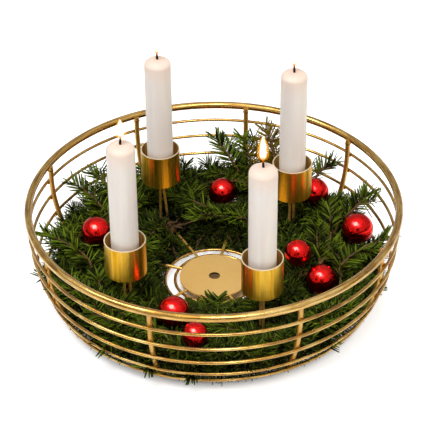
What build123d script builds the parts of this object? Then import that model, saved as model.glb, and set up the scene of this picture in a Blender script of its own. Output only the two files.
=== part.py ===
from build123d import *
from math import cos, degrees, radians, sin, sqrt
import os

# A wire bowl with a rod rim, eight ribs and thin welded rings. Pairs of bent wires
# carry cups for candles, and fir sprigs and balls lie in the trough round the plate.
# Millimetres, Z up, origin on the ground under the middle of the bowl.

# Bowl frame
rim_radius = 176.5
rim_rod = 7.4
rim_height = 99.8
rib_wire = 5.0
rib_azimuths = (38.2, 78.5, 117.0, 158.2, 207.5, 250.5, 296.0, 333.0)
rib_inset = 3.6
side_curve = 147.6
side_curve_height = 86.5
foot_bend = 7.0
foot_tail = 14.0
ring_wire = 3.0
side_ring_heights = (81.4, 63.3, 44.3, 25.6, 13.2)
weld_gap = 0.05

# Centre plate, spokes and floor rings
plate_radius = 34.2
plate_thickness = 2.0
plate_hole = 10.6
plate_top = 11.5
spoke_wire = 3.0
spoke_lap = 4.0
spoke_ribs = (1, 3, 5, 7)
floor_ring_radii = (38.8, 48.5, 72.0, 97.0)
tail_lap = 5.0

# Candle arms, cups and spikes: each place is a distance from the axis and an azimuth
arm_wire = 2.6
arm_bend = 5.0
arm_spread = 5.0
inner_bends = ((97.0, 38.5), (101.0, 117.2), (99.0, 218.5), (98.5, 295.4))
outer_bends = ((104.0, 39.2), (108.7, 120.2), (106.8, 217.1), (105.5, 295.4))
cup_places = ((100.5, 39.2), (105.2, 120.2), (103.3, 217.1), (102.0, 295.4))
cup_diameter = 39.0
cup_wall = 1.0
cup_floor = 1.2
cup_height = 36.0
cup_lip_height = 101.9
cup_edge = 1.2
spike_base = 4.0
spike_tip = 0.8
spike_height = 14.0

# Candles and wicks
candle_diameter = 26.0
candle_lengths = (138.0, 137.6, 140.2, 133.6)
candle_shoulder = 6.0
candle_pool_radius = 4.0
candle_pool_depth = 0.6
spike_clearance = 0.4
wick_diameter = 1.8
wick_showing = 10.5
wick_sunk = 6.0

# Fir sprigs lie on two round tracks, inside and outside the stems, each across a wire
sprig_thickness = 22.0
sprig_gap = 4.0
sprig_clearance = 1.5
inner_sprig_starts = (58.0, 188.0, 314.0)
outer_sprig_starts = (28.0, 118.0, 204.0, 292.0)
seat_gap = 0.3

# Balls: the track each lies on, its offset from that track, azimuth and diameter
INNER, OUTER = 0, 1
ball_places = (
    (OUTER, -13.0, 165.7, 30.0),
    (OUTER, -21.5, 85.2, 28.0),
    (OUTER, 4.0, 41.5, 29.0),
    (OUTER, 11.5, 11.2, 31.0),
    (INNER, -1.5, 351.5, 26.5),
    (INNER, 25.0, 342.0, 30.0),
    (INNER, 18.2, 247.8, 30.0),
    (OUTER, 0.7, 262.2, 24.0),
)

# Places worked out from the sizes above
rib_radius = rim_radius - rib_inset
side_curve_centre = rib_radius - side_curve
plate_middle = plate_top - plate_thickness / 2
foot_height = rib_wire / 2
foot_curve = side_curve - foot_bend
foot_bend_height = foot_height + foot_bend
foot_bend_radius = side_curve_centre + sqrt(foot_curve**2 - (side_curve_height - foot_bend_height) ** 2)
tail_end = foot_bend_radius - foot_tail
outer_floor_ring = tail_end + tail_lap
outer_floor_ring_height = rib_wire + ring_wire / 2 + weld_gap
floor_wire = max(arm_wire, spoke_wire)
ring_below_spoke = (floor_wire + ring_wire) / 2 + weld_gap
spoke_start = plate_radius + weld_gap
spoke_end = outer_floor_ring + spoke_lap
spoke_fall = (plate_middle - outer_floor_ring_height - ring_below_spoke) / (outer_floor_ring - spoke_start)
cup_floor_height = cup_lip_height - cup_height
candle_seat = cup_floor_height + cup_floor
sprig_radius = sprig_thickness / 2


def polar(radius, azimuth, height):
    """A point at a distance from the bowl's axis, in a direction, at a height."""
    return Vector(radius * cos(radians(azimuth)), radius * sin(radians(azimuth)), height)


def spoke_height(radius):
    """Height of a spoke's centre line at a distance from the bowl's axis."""
    return plate_middle - (radius - spoke_start) * spoke_fall


def side_radius(height):
    """Distance of a rib's centre line from the bowl's axis at a height on the curved side."""
    return side_curve_centre + sqrt(side_curve**2 - (side_curve_height - height) ** 2)


def bent_wire(path, diameter):
    """Round wire of one diameter along a path."""
    section = Plane(origin=path @ 0, z_dir=path % 0) * Circle(diameter / 2)
    return sweep(section, path)


def ring(radius, height, diameter):
    """Round wire bent to a level ring."""
    return Pos(0, 0, height) * Torus(radius, diameter / 2)


def on_side_curve(angle):
    """A point of the rib's side curve, at an angle below the level of its centre."""
    return Vector(
        side_curve_centre + side_curve * cos(angle),
        0,
        side_curve_height - side_curve * sin(angle),
    )


def make_rib():
    """Side wire: straight under the rim, curved down the bowl, bent inwards as a foot."""
    foot_centre = Vector(foot_bend_radius, 0, foot_bend_height)
    curve_centre = Vector(side_curve_centre, 0, side_curve_height)
    to_foot = (foot_centre - curve_centre).normalized()
    foot_angle = radians((foot_centre - curve_centre).get_angle(Vector(1, 0, 0)))
    foot_touch = curve_centre + to_foot * side_curve
    foot_middle = foot_centre + (to_foot + Vector(0, 0, -1)).normalized() * foot_bend
    tail_start = Vector(foot_bend_radius, 0, foot_height)
    top = Vector(rib_radius, 0, rim_height)
    spring = on_side_curve(0)
    path = Wire(
        [
            Edge.make_line(top, spring),
            Edge.make_three_point_arc(spring, on_side_curve(foot_angle / 2), foot_touch),
            Edge.make_three_point_arc(foot_touch, foot_middle, tail_start),
            Edge.make_line(tail_start, Vector(tail_end, 0, foot_height)),
        ]
    )
    return bent_wire(path, rib_wire) - ring(rim_radius, rim_height, rim_rod + 2 * weld_gap)


def make_spoke(azimuth):
    """Straight wire from the plate's edge out across the floor rings."""
    start = polar(spoke_start, azimuth, spoke_height(spoke_start))
    end = polar(spoke_end, azimuth, spoke_height(spoke_end))
    return bent_wire(Wire([Edge.make_line(start, end)]), spoke_wire)


def make_arm(start_distance, bend_place, cup_place, offset):
    """Wire along the bowl's floor, bent up into one of the two stems of a cup."""
    bend_distance, bend_azimuth = bend_place
    cup_distance, cup_azimuth = cup_place
    start = polar(start_distance, bend_azimuth, spoke_height(start_distance))
    corner = polar(bend_distance, bend_azimuth, spoke_height(bend_distance))
    under_cup = polar(cup_distance + offset, cup_azimuth, cup_floor_height)
    past_floor = under_cup + (under_cup - corner).normalized() * arm_wire
    path = FilletPolyline(start, corner, past_floor, radius=arm_bend)
    arm = bent_wire(path, arm_wire)
    return split(arm, Plane.XY.offset(cup_floor_height), keep=Keep.BOTTOM)


def make_cup():
    """Thin-walled cup with a flat floor, its lip at the top, standing on the origin."""
    wall = Cylinder(cup_diameter / 2, cup_height, align=(Align.CENTER, Align.CENTER, Align.MIN))
    wall = fillet(wall.edges().sort_by(Axis.Z)[0], cup_edge)
    hollow = Cylinder(cup_diameter / 2 - cup_wall, cup_height, align=(Align.CENTER, Align.CENTER, Align.MIN))
    return wall - Pos(0, 0, cup_floor) * hollow


def make_candle(length):
    """Straight candle with rounded shoulders, a shallow melt pool, a wick hole and a spike hole."""
    radius = candle_diameter / 2
    body = Cylinder(radius, length, align=(Align.CENTER, Align.CENTER, Align.MIN))
    body = fillet(body.edges().sort_by(Axis.Z)[-1], candle_shoulder)
    pool_ball = (candle_pool_radius**2 + candle_pool_depth**2) / (2 * candle_pool_depth)
    body -= Pos(0, 0, length - candle_pool_depth + pool_ball) * Sphere(pool_ball)
    wick_hole = Cylinder(
        wick_diameter / 2 + weld_gap,
        candle_pool_depth + wick_sunk,
        align=(Align.CENTER, Align.CENTER, Align.MAX),
    )
    body -= Pos(0, 0, length) * wick_hole
    spike_hole = Cylinder(
        spike_base / 2 + spike_clearance,
        spike_height + spike_clearance,
        align=(Align.CENTER, Align.CENTER, Align.MIN),
    )
    return body - spike_hole


def make_wick():
    """Short cord that stands in the candle's wick hole."""
    return Cylinder(
        wick_diameter / 2,
        wick_showing + wick_sunk,
        align=(Align.CENTER, Align.CENTER, Align.MIN),
    )


def make_sprig(track_radius, track_height, start, span):
    """One fir sprig as a plain rounded bar, bent along its round track."""
    section = Plane.XZ * Pos(track_radius, track_height) * Circle(sprig_radius)
    bar = Rot(0, 0, start) * revolve(section, Axis.Z, revolution_arc=span)
    for azimuth in (start, start + span):
        bar += Pos(polar(track_radius, azimuth, track_height)) * Sphere(sprig_radius)
    return bar


def track_rest_height(radius):
    """Height at which a sprig's centre line rests on the candle arms and spokes."""
    rest = (floor_wire / 2 + sprig_radius + seat_gap) * sqrt(1 + spoke_fall**2)
    return spoke_height(radius) + rest


# Tracks: the inner one just clears the stems, the outer one lies midway to the bowl's side
stem_inside = min(distance for distance, azimuth in inner_bends) - arm_wire / 2
stem_outside = max(distance for distance, azimuth in outer_bends) + arm_wire / 2
inner_track = stem_inside - sprig_clearance - sprig_radius
side_inside = side_radius(plate_top + sprig_radius) - rib_wire / 2
outer_track = (stem_outside + side_inside) / 2
tracks = [(radius, track_rest_height(radius)) for radius in (inner_track, outer_track)]


def ball_height(distance, diameter):
    """Height at which a ball's centre rests on the sprigs of the tracks under it."""
    reach = diameter / 2 + sprig_radius + seat_gap
    heights = []
    for track_radius, track_height in tracks:
        offset = distance - track_radius
        if abs(offset) < reach:
            heights.append(track_height + sqrt(reach**2 - offset**2))
    return max(heights)


parts = {}

# Rim, ribs and side rings
parts["rim"] = ring(rim_radius, rim_height, rim_rod)
rib = make_rib()
for number, azimuth in enumerate(rib_azimuths, start=1):
    parts[f"rib_{number}"] = Rot(0, 0, azimuth) * rib
ring_offset = (rib_wire + ring_wire) / 2 + weld_gap
for number, height in enumerate(side_ring_heights, start=1):
    fall = side_curve_height - height
    radius = side_curve_centre + sqrt((side_curve + ring_offset) ** 2 - fall**2)
    parts[f"side_ring_{number}"] = ring(radius, height, ring_wire)

# Centre plate, spokes and floor rings
plate_blank = Cylinder(plate_radius, plate_thickness) - Cylinder(plate_hole / 2, plate_thickness)
parts["centre_plate"] = Pos(0, 0, plate_middle) * plate_blank
for number, rib_index in enumerate(spoke_ribs, start=1):
    parts[f"spoke_{number}"] = make_spoke(rib_azimuths[rib_index])
for number, radius in enumerate(floor_ring_radii + (outer_floor_ring,), start=1):
    parts[f"floor_ring_{number}"] = ring(radius, spoke_height(radius) - ring_below_spoke, ring_wire)

# Candle arms, cups, spikes, candles and wicks
cup = make_cup()
spike = Cone(spike_base / 2, spike_tip / 2, spike_height, align=(Align.CENTER, Align.CENTER, Align.MIN))
wick = make_wick()
spikes = []
candle_stands = zip(inner_bends, outer_bends, cup_places, candle_lengths)
for number, (inner_bend, outer_bend, cup_place, length) in enumerate(candle_stands, start=1):
    parts[f"inner_arm_{number}"] = make_arm(spoke_start, inner_bend, cup_place, -arm_spread / 2)
    parts[f"outer_arm_{number}"] = make_arm(spoke_end, outer_bend, cup_place, arm_spread / 2)
    parts[f"candle_cup_{number}"] = Pos(polar(*cup_place, cup_floor_height)) * cup
    spikes.append(Pos(polar(*cup_place, candle_seat)) * spike)
    parts[f"candle_{number}"] = Pos(polar(*cup_place, candle_seat)) * make_candle(length)
    wick_foot = candle_seat + length - candle_pool_depth - wick_sunk
    parts[f"wick_{number}"] = Pos(polar(*cup_place, wick_foot)) * wick
parts["candle_spikes"] = Compound(children=spikes)

# Fir sprigs, then the balls that rest on them
sprig_number = 0
for (track_radius, track_height), starts in zip(tracks, (inner_sprig_starts, outer_sprig_starts)):
    end_angle = degrees((sprig_thickness + sprig_gap) / track_radius)
    for start, following in zip(starts, starts[1:] + (starts[0] + 360,)):
        sprig_number += 1
        span = following - start - end_angle
        parts[f"fir_sprig_{sprig_number}"] = make_sprig(track_radius, track_height, start, span)
for number, (track, offset, azimuth, diameter) in enumerate(ball_places, start=1):
    distance = tracks[track][0] + offset
    centre = polar(distance, azimuth, ball_height(distance, diameter))
    parts[f"ball_{number}"] = Pos(centre) * Sphere(diameter / 2)

os.makedirs("parts", exist_ok=True)
for name, shape in parts.items():
    export_step(shape, f"parts/{name}.step")
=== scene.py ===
import bmesh
import bpy
from math import atan2, cos, degrees, pi, radians, sin, sqrt
from mathutils import Matrix, Vector, noise
from random import Random


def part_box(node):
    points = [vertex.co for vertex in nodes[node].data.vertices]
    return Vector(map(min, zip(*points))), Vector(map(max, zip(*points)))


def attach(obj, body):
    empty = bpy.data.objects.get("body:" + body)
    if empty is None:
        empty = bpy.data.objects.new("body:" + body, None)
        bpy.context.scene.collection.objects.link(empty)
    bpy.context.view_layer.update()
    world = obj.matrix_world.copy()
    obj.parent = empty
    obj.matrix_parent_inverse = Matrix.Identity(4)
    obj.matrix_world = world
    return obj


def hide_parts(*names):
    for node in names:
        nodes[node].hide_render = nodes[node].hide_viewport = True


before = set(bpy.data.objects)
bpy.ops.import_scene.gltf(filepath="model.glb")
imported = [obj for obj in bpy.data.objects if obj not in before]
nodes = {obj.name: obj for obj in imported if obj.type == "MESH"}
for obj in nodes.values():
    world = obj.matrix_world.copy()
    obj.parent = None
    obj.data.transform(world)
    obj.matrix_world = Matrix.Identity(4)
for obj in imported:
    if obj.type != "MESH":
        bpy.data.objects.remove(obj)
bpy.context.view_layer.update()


# Wire bowl: a rod rim, eight ribs bent under as feet, and thin rings round the side and floor.
# Mild steel rod and wire, spot welded, then lacquered in a satin gold that is brushed on
# along the rings, so that it lies in fine streaks there and a little patchy everywhere.

MM = 0.001
LEVEL = (1.0, 1.0, 0.0)
RIPPLE_STRENGTH = 0.15
RIPPLE_DEPTH = 0.12
STREAK_SLANT = 1.3
STREAK_FINENESS = (1.0, 1.0, 85.0)
STREAK_SCALE = 7.0
DARK_STREAKS = (0.5, 0.64)
LIGHT_STREAKS = (0.5, 0.36)
STREAK_SHARE = 0.8


def tone(red, green, blue):
    """A colour as it looks, from 0 to 255, in the linear values that shaders use."""
    linear = []
    for value in (red, green, blue):
        part = value / 255
        linear.append(part / 12.92 if part <= 0.04045 else ((part + 0.055) / 1.055) ** 2.4)
    return (*linear, 1.0)


def plug(tree, socket, value):
    """Links an output to a socket, or sets the socket to a plain value."""
    if isinstance(value, bpy.types.NodeSocket):
        tree.links.new(value, socket)
    else:
        socket.default_value = value


def add_node(tree, kind, settings=None, **sockets):
    """One shader node, with each named socket linked to an output or set to a value."""
    node = tree.nodes.new(kind)
    for name, value in (settings or {}).items():
        setattr(node, name, value)
    for name, value in sockets.items():
        plug(tree, node.inputs[name.replace("_", " ")], value)
    return node


def reckon(tree, kind, operation, values):
    """A Math or Vector Math node, with its inputs in order."""
    node = add_node(tree, kind, {"operation": operation})
    for socket, value in zip(node.inputs, values):
        plug(tree, socket, value)
    return node


def number_from(tree, operation, *values):
    """The number that a Math node puts out."""
    return reckon(tree, "ShaderNodeMath", operation, values).outputs["Value"]


def vector_from(tree, operation, *values):
    """The vector that a Vector Math node puts out."""
    return reckon(tree, "ShaderNodeVectorMath", operation, values).outputs["Vector"]


def measure_from(tree, operation, *values):
    """The length, distance or product that a Vector Math node puts out."""
    return reckon(tree, "ShaderNodeVectorMath", operation, values).outputs["Value"]


def mix_tones(tree, factor, first, second):
    """A colour between two others, by a mask."""
    node = add_node(tree, "ShaderNodeMix", {"data_type": "RGBA"})
    factor_socket, first_socket, second_socket = (node.inputs[index] for index in (0, 6, 7))
    plug(tree, factor_socket, factor)
    plug(tree, first_socket, first)
    plug(tree, second_socket, second)
    return node.outputs[2]


def spread(tree, value, low, high, to_low, to_high):
    """A value moved from one range to another, and held inside it."""
    node = add_node(
        tree, "ShaderNodeMapRange", Value=value, From_Min=low, From_Max=high, To_Min=to_low, To_Max=to_high
    )
    return node.outputs["Result"]


def fade(tree, value, start, end, share=1.0):
    """A mask that runs from 0 to a share while a value runs from one limit to the other."""
    return spread(tree, value, start, end, 0.0, share)


def own_place(tree):
    """Where each point of a piece lies, in metres."""
    return add_node(tree, "ShaderNodeTexCoord").outputs["Object"]


def part_of(tree, vector, axis):
    """One of a vector's three parts."""
    return add_node(tree, "ShaderNodeSeparateXYZ", Vector=vector).outputs[axis]


def stretch(tree, vector, scale):
    """A place scaled axis by axis, so that a grain on it runs long one way."""
    return add_node(tree, "ShaderNodeMapping", Vector=vector, Scale=scale).outputs["Vector"]


def grain(tree, vector, scale, detail=3.0, roughness=0.5):
    """Soft random values over the surface."""
    node = add_node(
        tree, "ShaderNodeTexNoise", Vector=vector, Scale=scale, Detail=detail, Roughness=roughness
    )
    return node.outputs["Fac"]


def new_finish(name, **sockets):
    """A material with one Principled shader, whose plain sockets are set here."""
    material = bpy.data.materials.new(name)
    material.use_nodes = True
    tree = material.node_tree
    shader = tree.nodes["Principled BSDF"]
    for socket, value in sockets.items():
        shader.inputs[socket.replace("_", " ")].default_value = value
    return material, tree, shader


def bump(tree, shader, height, strength, depth):
    """Raises and sinks the surface a little by a height mask, to a depth in millimetres."""
    node = add_node(tree, "ShaderNodeBump", Height=height, Strength=strength, Distance=depth * MM)
    tree.links.new(node.outputs["Normal"], shader.inputs["Normal"])


def paint_over(material, mask, colour):
    """Lays one more colour over a finish, by a mask."""
    tree = material.node_tree
    socket = tree.nodes["Principled BSDF"].inputs["Base Color"]
    plug(tree, socket, mix_tones(tree, mask, socket.links[0].from_socket, colour))


def coat_nodes(names, material):
    """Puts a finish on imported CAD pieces."""
    for name in names:
        for slot in nodes[name].material_slots:
            slot.material = material


# The lacquer's unevenness, shared by all gold pieces: broad patches, fine specks and a ripple
lacquer = bpy.data.node_groups.new("lacquer_unevenness", "ShaderNodeTree")
for socket_name in ("Patch Scale", "Speck Scale"):
    lacquer.interface.new_socket(socket_name, in_out="INPUT", socket_type="NodeSocketFloat")
for socket_name in ("Patches", "Specks", "Ripple"):
    lacquer.interface.new_socket(socket_name, in_out="OUTPUT", socket_type="NodeSocketFloat")
lacquer_in = add_node(lacquer, "NodeGroupInput")
lacquer_out = add_node(lacquer, "NodeGroupOutput")
lacquer_place = own_place(lacquer)
patches = grain(lacquer, lacquer_place, lacquer_in.outputs["Patch Scale"], detail=4.0)
specks = grain(lacquer, lacquer_place, lacquer_in.outputs["Speck Scale"], detail=2.0, roughness=0.6)
plug(lacquer, lacquer_out.inputs["Patches"], fade(lacquer, patches, 0.35, 0.65))
plug(lacquer, lacquer_out.inputs["Specks"], fade(lacquer, specks, 0.58, 0.78))
plug(lacquer, lacquer_out.inputs["Ripple"], specks)


def add_unevenness(tree, patch_scale, speck_scale):
    """The lacquer's unevenness in a finish, at the finish's own scales."""
    settings = {"node_tree": lacquer}
    return add_node(tree, "ShaderNodeGroup", settings, Patch_Scale=patch_scale, Speck_Scale=speck_scale)


def gold_finish(name, light, deep, speck, scales, shine, **sockets):
    """Lacquered gold: two tones in patches, dark specks, and gloss that varies with the patches."""
    material, tree, shader = new_finish(name, **sockets)
    uneven = add_unevenness(tree, *scales)
    body = mix_tones(tree, uneven.outputs["Patches"], deep, light)
    plug(tree, shader.inputs["Base Color"], mix_tones(tree, uneven.outputs["Specks"], body, speck))
    plug(tree, shader.inputs["Roughness"], spread(tree, uneven.outputs["Patches"], 0.0, 1.0, *shine))
    bump(tree, shader, uneven.outputs["Ripple"], RIPPLE_STRENGTH, RIPPLE_DEPTH)
    return material


rib_gold = gold_finish(
    "rib_gold", light=tone(226, 178, 86), deep=tone(206, 154, 62), speck=tone(150, 104, 34),
    scales=(70.0, 900.0), shine=(0.36, 0.28), Metallic=0.8, Coat_Weight=0.6, Coat_Roughness=0.2,
)
ring_gold = gold_finish(
    "ring_gold", light=tone(222, 174, 74), deep=tone(202, 150, 50), speck=tone(150, 102, 30),
    scales=(55.0, 900.0), shine=(0.29, 0.21), Metallic=1.0, Coat_Weight=1.0, Coat_Roughness=0.1,
)
# The arms and spokes get a lighter, less metallic copy of the gold, painted lighter so that they look lit
# where they stand in the fir's shade
arm_gold_painted_light = gold_finish(
    "arm_gold_painted_light", light=tone(250, 204, 108), deep=tone(232, 180, 82), speck=tone(170, 120, 40),
    scales=(70.0, 900.0), shine=(0.34, 0.24), Metallic=0.55,
)
# The brush marks follow each ring: slow to change round the bowl, quick across the wire
ring_tree = ring_gold.node_tree
ring_place = own_place(ring_tree)
ring_flat = vector_from(ring_tree, "MULTIPLY", ring_place, LEVEL)
ring_heading = vector_from(ring_tree, "NORMALIZE", ring_flat)
ring_reach = measure_from(ring_tree, "LENGTH", ring_flat)
ring_height = part_of(ring_tree, ring_place, "Z")
ring_across = number_from(ring_tree, "MULTIPLY_ADD", ring_height, STREAK_SLANT, ring_reach)
ring_lines = add_node(ring_tree, "ShaderNodeCombineXYZ", Z=ring_across).outputs["Vector"]
ring_lines = vector_from(ring_tree, "MULTIPLY_ADD", ring_lines, STREAK_FINENESS, ring_heading)
brushed = grain(ring_tree, ring_lines, STREAK_SCALE, roughness=0.6)
paint_over(ring_gold, fade(ring_tree, brushed, *DARK_STREAKS, STREAK_SHARE), tone(138, 90, 24))
paint_over(ring_gold, fade(ring_tree, brushed, *LIGHT_STREAKS, STREAK_SHARE), tone(246, 210, 130))

rings = ["rim"]
rings += [f"side_ring_{number}" for number in range(1, 6)]
rings += [f"floor_ring_{number}" for number in range(1, 6)]
ribs = [f"rib_{number}" for number in range(1, 9)]
spokes = [f"spoke_{number}" for number in range(1, 5)]
arms = [f"{side}_arm_{number}" for side in ("inner", "outer") for number in range(1, 5)]
coat_nodes(rings, ring_gold)
coat_nodes(ribs, rib_gold)
coat_nodes(spokes + arms, arm_gold_painted_light)


# Welds: small beads where each rib meets the rim and the side rings, and where the spokes
# and arms meet the plate. The lacquer over them is darker, because the weld burns the steel.

RIB_RADIUS = 172.9
RIB_TOP = 95.6
RING_WIRE = 3.0
PLATE_EDGE = 34.4
PLATE_MIDDLE = 10.5
ARM_AZIMUTHS = (38.5, 117.2, 218.5, 295.4)
# How far a bead reaches out from the axis, along the ring and up
RIM_BEAD = (3.1, 3.1, 1.5)
RING_BEAD = (1.1, 3.0, 1.4)
PLATE_BEAD = (1.5, 2.0, 1.2)
RING_BEAD_OFFSETS = (1.0, -1.0)


def polar(radius, azimuth, height):
    """A point in metres, from millimetres out from the bowl's axis, degrees round it, and up."""
    angle = radians(azimuth)
    return Vector((radius * cos(angle), radius * sin(angle), height)) * MM


def azimuth_of(name):
    """The direction in degrees in which a radial piece runs from the bowl's axis."""
    low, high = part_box(name)
    return degrees(atan2(low.y + high.y, low.x + high.x))


def link_piece(name, bm, materials, body):
    """Makes a smooth mesh piece from a bmesh, and fixes it to its body and finish slot."""
    bmesh.ops.recalc_face_normals(bm, faces=bm.faces)
    for face in bm.faces:
        face.smooth = True
    mesh = bpy.data.meshes.new(name)
    bm.to_mesh(mesh)
    bm.free()
    for material in materials:
        mesh.materials.append(material)
    piece = bpy.data.objects.new(name, mesh)
    bpy.context.scene.collection.objects.link(piece)
    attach(piece, body)
    return piece


def add_bead(bm, radius, azimuth, height, reaches):
    """One weld bead, turned to face out from the axis."""
    place = Matrix.Translation(polar(radius, azimuth, height)) @ Matrix.Rotation(radians(azimuth), 4, "Z")
    size = Matrix.Diagonal((*(reach * MM for reach in reaches), 1.0))
    bmesh.ops.create_icosphere(bm, subdivisions=2, radius=1.0, matrix=place @ size)


weld_gold = gold_finish(
    "weld_gold", light=tone(170, 120, 48), deep=tone(116, 76, 24), speck=tone(70, 44, 12),
    scales=(300.0, 1500.0), shine=(0.5, 0.36), Metallic=1.0,
)
welds = bmesh.new()
for rib in ribs:
    azimuth = azimuth_of(rib)
    add_bead(welds, RIB_RADIUS, azimuth, RIB_TOP, RIM_BEAD)
    for number in range(1, 6):
        low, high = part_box(f"side_ring_{number}")
        inside = (high.x - low.x) / 2 / MM - RING_WIRE
        height = (high.z + low.z) / 2 / MM
        for offset in RING_BEAD_OFFSETS:
            add_bead(welds, inside, azimuth, height + offset, RING_BEAD)
for azimuth in [azimuth_of(spoke) for spoke in spokes] + list(ARM_AZIMUTHS):
    add_bead(welds, PLATE_EDGE, azimuth, PLATE_MIDDLE, PLATE_BEAD)
link_piece("weld_beads", welds, [weld_gold], "holder")


# Centre plate: a flat disc with a plain hole, where the spokes and arms end.
# Sheet steel, cut round, with a smooth and matt coat of the same gold.

# The wall of the hole is painted dark as shade, out to the first of these radii and not past the second
HOLE_WALL_SHADE_BAND = (5.4, 5.6)

plate_gold = gold_finish(
    "plate_gold", light=tone(238, 196, 118), deep=tone(230, 187, 108), speck=tone(212, 166, 88),
    scales=(26.0, 1400.0), shine=(0.6, 0.5), Metallic=0.35,
)
plate_tree = plate_gold.node_tree
plate_flat = vector_from(plate_tree, "MULTIPLY", own_place(plate_tree), LEVEL)
plate_reach = measure_from(plate_tree, "LENGTH", plate_flat)
# Painted shade: the wall of the hole is coloured dark brown
hole_wall_painted_shade = fade(plate_tree, plate_reach, HOLE_WALL_SHADE_BAND[1] * MM, HOLE_WALL_SHADE_BAND[0] * MM)
paint_over(plate_gold, hole_wall_painted_shade, tone(58, 42, 16))
coat_nodes(["centre_plate"], plate_gold)


# Candle cups: thin drawn cups, open at the top, each standing on the bent ends of two wires.
# Brass-coloured, polished up and down outside and duller inside, with the top of its lip painted pale as a
# highlight.
# A turned steel spike stands in each to hold the candle.

# The inside starts halfway through the wall, and the lip's top, painted pale as a highlight, just below the
# cup's top
CUP_WALL_BAND = (18.9, 19.1)
CUP_LIP_TOP_BAND = (101.2, 101.5)
CUP_DULLER = 0.25
POLISH_STRETCH = (1.0, 1.0, 0.03)
POLISH_SCALE = 420.0
TURNED_STRETCH = (0.1, 0.1, 1.0)
TURNED_SCALE = 2500.0

cup_gold, cup_tree, cup_shader = new_finish("cup_gold", Metallic=1.0)
cup_place = own_place(cup_tree)
cup_uneven = add_unevenness(cup_tree, patch_scale=70.0, speck_scale=1200.0)
cup_streaks = grain(cup_tree, stretch(cup_tree, cup_place, POLISH_STRETCH), POLISH_SCALE, roughness=0.6)
cup_flat = vector_from(cup_tree, "MULTIPLY", cup_place, LEVEL)
cups = [f"candle_cup_{number}" for number in range(1, 5)]
cup_axes = []
nearest_axis = 1.0
for cup in cups:
    low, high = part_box(cup)
    axis = Vector(((low.x + high.x) / 2, (low.y + high.y) / 2, 0.0))
    cup_axes.append(axis)
    away = measure_from(cup_tree, "DISTANCE", cup_flat, axis)
    nearest_axis = number_from(cup_tree, "MINIMUM", away, nearest_axis)
cup_inside = fade(cup_tree, nearest_axis, CUP_WALL_BAND[1] * MM, CUP_WALL_BAND[0] * MM)
cup_height = part_of(cup_tree, cup_place, "Z")
painted_lip_highlight = fade(cup_tree, cup_height, CUP_LIP_TOP_BAND[0] * MM, CUP_LIP_TOP_BAND[1] * MM)
cup_lines = fade(cup_tree, cup_streaks, 0.35, 0.65)
cup_body = mix_tones(cup_tree, cup_lines, tone(228, 166, 18), tone(255, 210, 84))
cup_bowl = mix_tones(cup_tree, cup_lines, tone(206, 170, 92), tone(236, 206, 134))
cup_body = mix_tones(cup_tree, cup_inside, cup_body, cup_bowl)
cup_body = mix_tones(cup_tree, cup_uneven.outputs["Specks"], cup_body, tone(186, 130, 34))
# Painted highlight: the top face of the lip is coloured pale cream, and it is also made rougher
cup_body = mix_tones(cup_tree, painted_lip_highlight, cup_body, tone(255, 240, 206))
plug(cup_tree, cup_shader.inputs["Base Color"], cup_body)
cup_gloss = spread(cup_tree, cup_streaks, 0.3, 0.7, 0.27, 0.35)
cup_dull = number_from(cup_tree, "MAXIMUM", cup_inside, painted_lip_highlight)
cup_gloss = number_from(cup_tree, "MULTIPLY_ADD", cup_dull, CUP_DULLER, cup_gloss)
plug(cup_tree, cup_shader.inputs["Roughness"], cup_gloss)
bump(cup_tree, cup_shader, cup_streaks, strength=0.09, depth=0.1)
coat_nodes(cups, cup_gold)

spike_steel, spike_tree, spike_shader = new_finish("spike_steel", Metallic=1.0)
turned = grain(spike_tree, stretch(spike_tree, own_place(spike_tree), TURNED_STRETCH), TURNED_SCALE)
spike_body = mix_tones(spike_tree, turned, tone(150, 148, 144), tone(196, 194, 190))
plug(spike_tree, spike_shader.inputs["Base Color"], spike_body)
plug(spike_tree, spike_shader.inputs["Roughness"], spread(spike_tree, turned, 0.3, 0.7, 0.25, 0.42))
coat_nodes(["candle_spikes"], spike_steel)


# Candles: straight ivory candles with a hole below for the spike, melted round the shoulder.
# Poured wax with faint upright marks. Near the top a warm glow from the flame is painted in, as a warmer
# colour and a faint emission.

CANDLES = range(1, 5)
CANDLE_RADIUS = 13.0
CANDLE_SIDES = 72
FOOT_CHAMFER = 0.6
SPIKE_HOLE = 2.4
SPIKE_HOLE_DEPTH = 14.4
SIDE_ROWS = 16
SHOULDER_WIDTH = 9.0
SHOULDER_DROP = 6.4
SHOULDER_ROWS = 9
# The pool of melted wax round the wick: points out from the axis, and down from the top
POOL = ((4.0, 0.0), (2.6, 0.1), (1.3, 0.15), (0.0, 0.15))
GLOW_DEPTH = 22.0
MELT_DEPTH = 9.0
MELT_SCALE = 90
MELT_SWAY = 0.9
MELT_SINK = 0.2
POUR_STRETCH = (1.0, 1.0, 0.06)
POUR_SCALE = 160.0
HAND_WAVE_SCALE = 45.0
NO_GLOW = (0.0, 0.0, 0.0, 1.0)


def turn_profile(profile, centre, steps):
    """A closed turned shape: a line of points, out from the axis and up, spun round it."""
    bm = bmesh.new()
    points = [bm.verts.new(centre + Vector((out, 0.0, up)) * MM) for out, up in profile]
    edges = [bm.edges.new(pair) for pair in zip(points, points[1:])]
    bmesh.ops.spin(
        bm, geom=points + edges, axis=(0, 0, 1), cent=centre, angle=2 * pi, steps=steps, use_merge=True
    )
    bmesh.ops.remove_doubles(bm, verts=bm.verts, dist=0.00001)
    bmesh.ops.recalc_face_normals(bm, faces=bm.faces)
    return bm


def mark_height(bm, name, low, high):
    """Gives each point a value from 0 to 1 between two heights, for the finish to read."""
    layer = bm.verts.layers.float.new(name)
    for point in bm.verts:
        point[layer] = min(1.0, max(0.0, (point.co.z - low) / (high - low)))


def read_mark(tree, name):
    """The value that a piece's points carry under a name."""
    return add_node(tree, "ShaderNodeAttribute", {"attribute_name": name}).outputs["Fac"]


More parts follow.
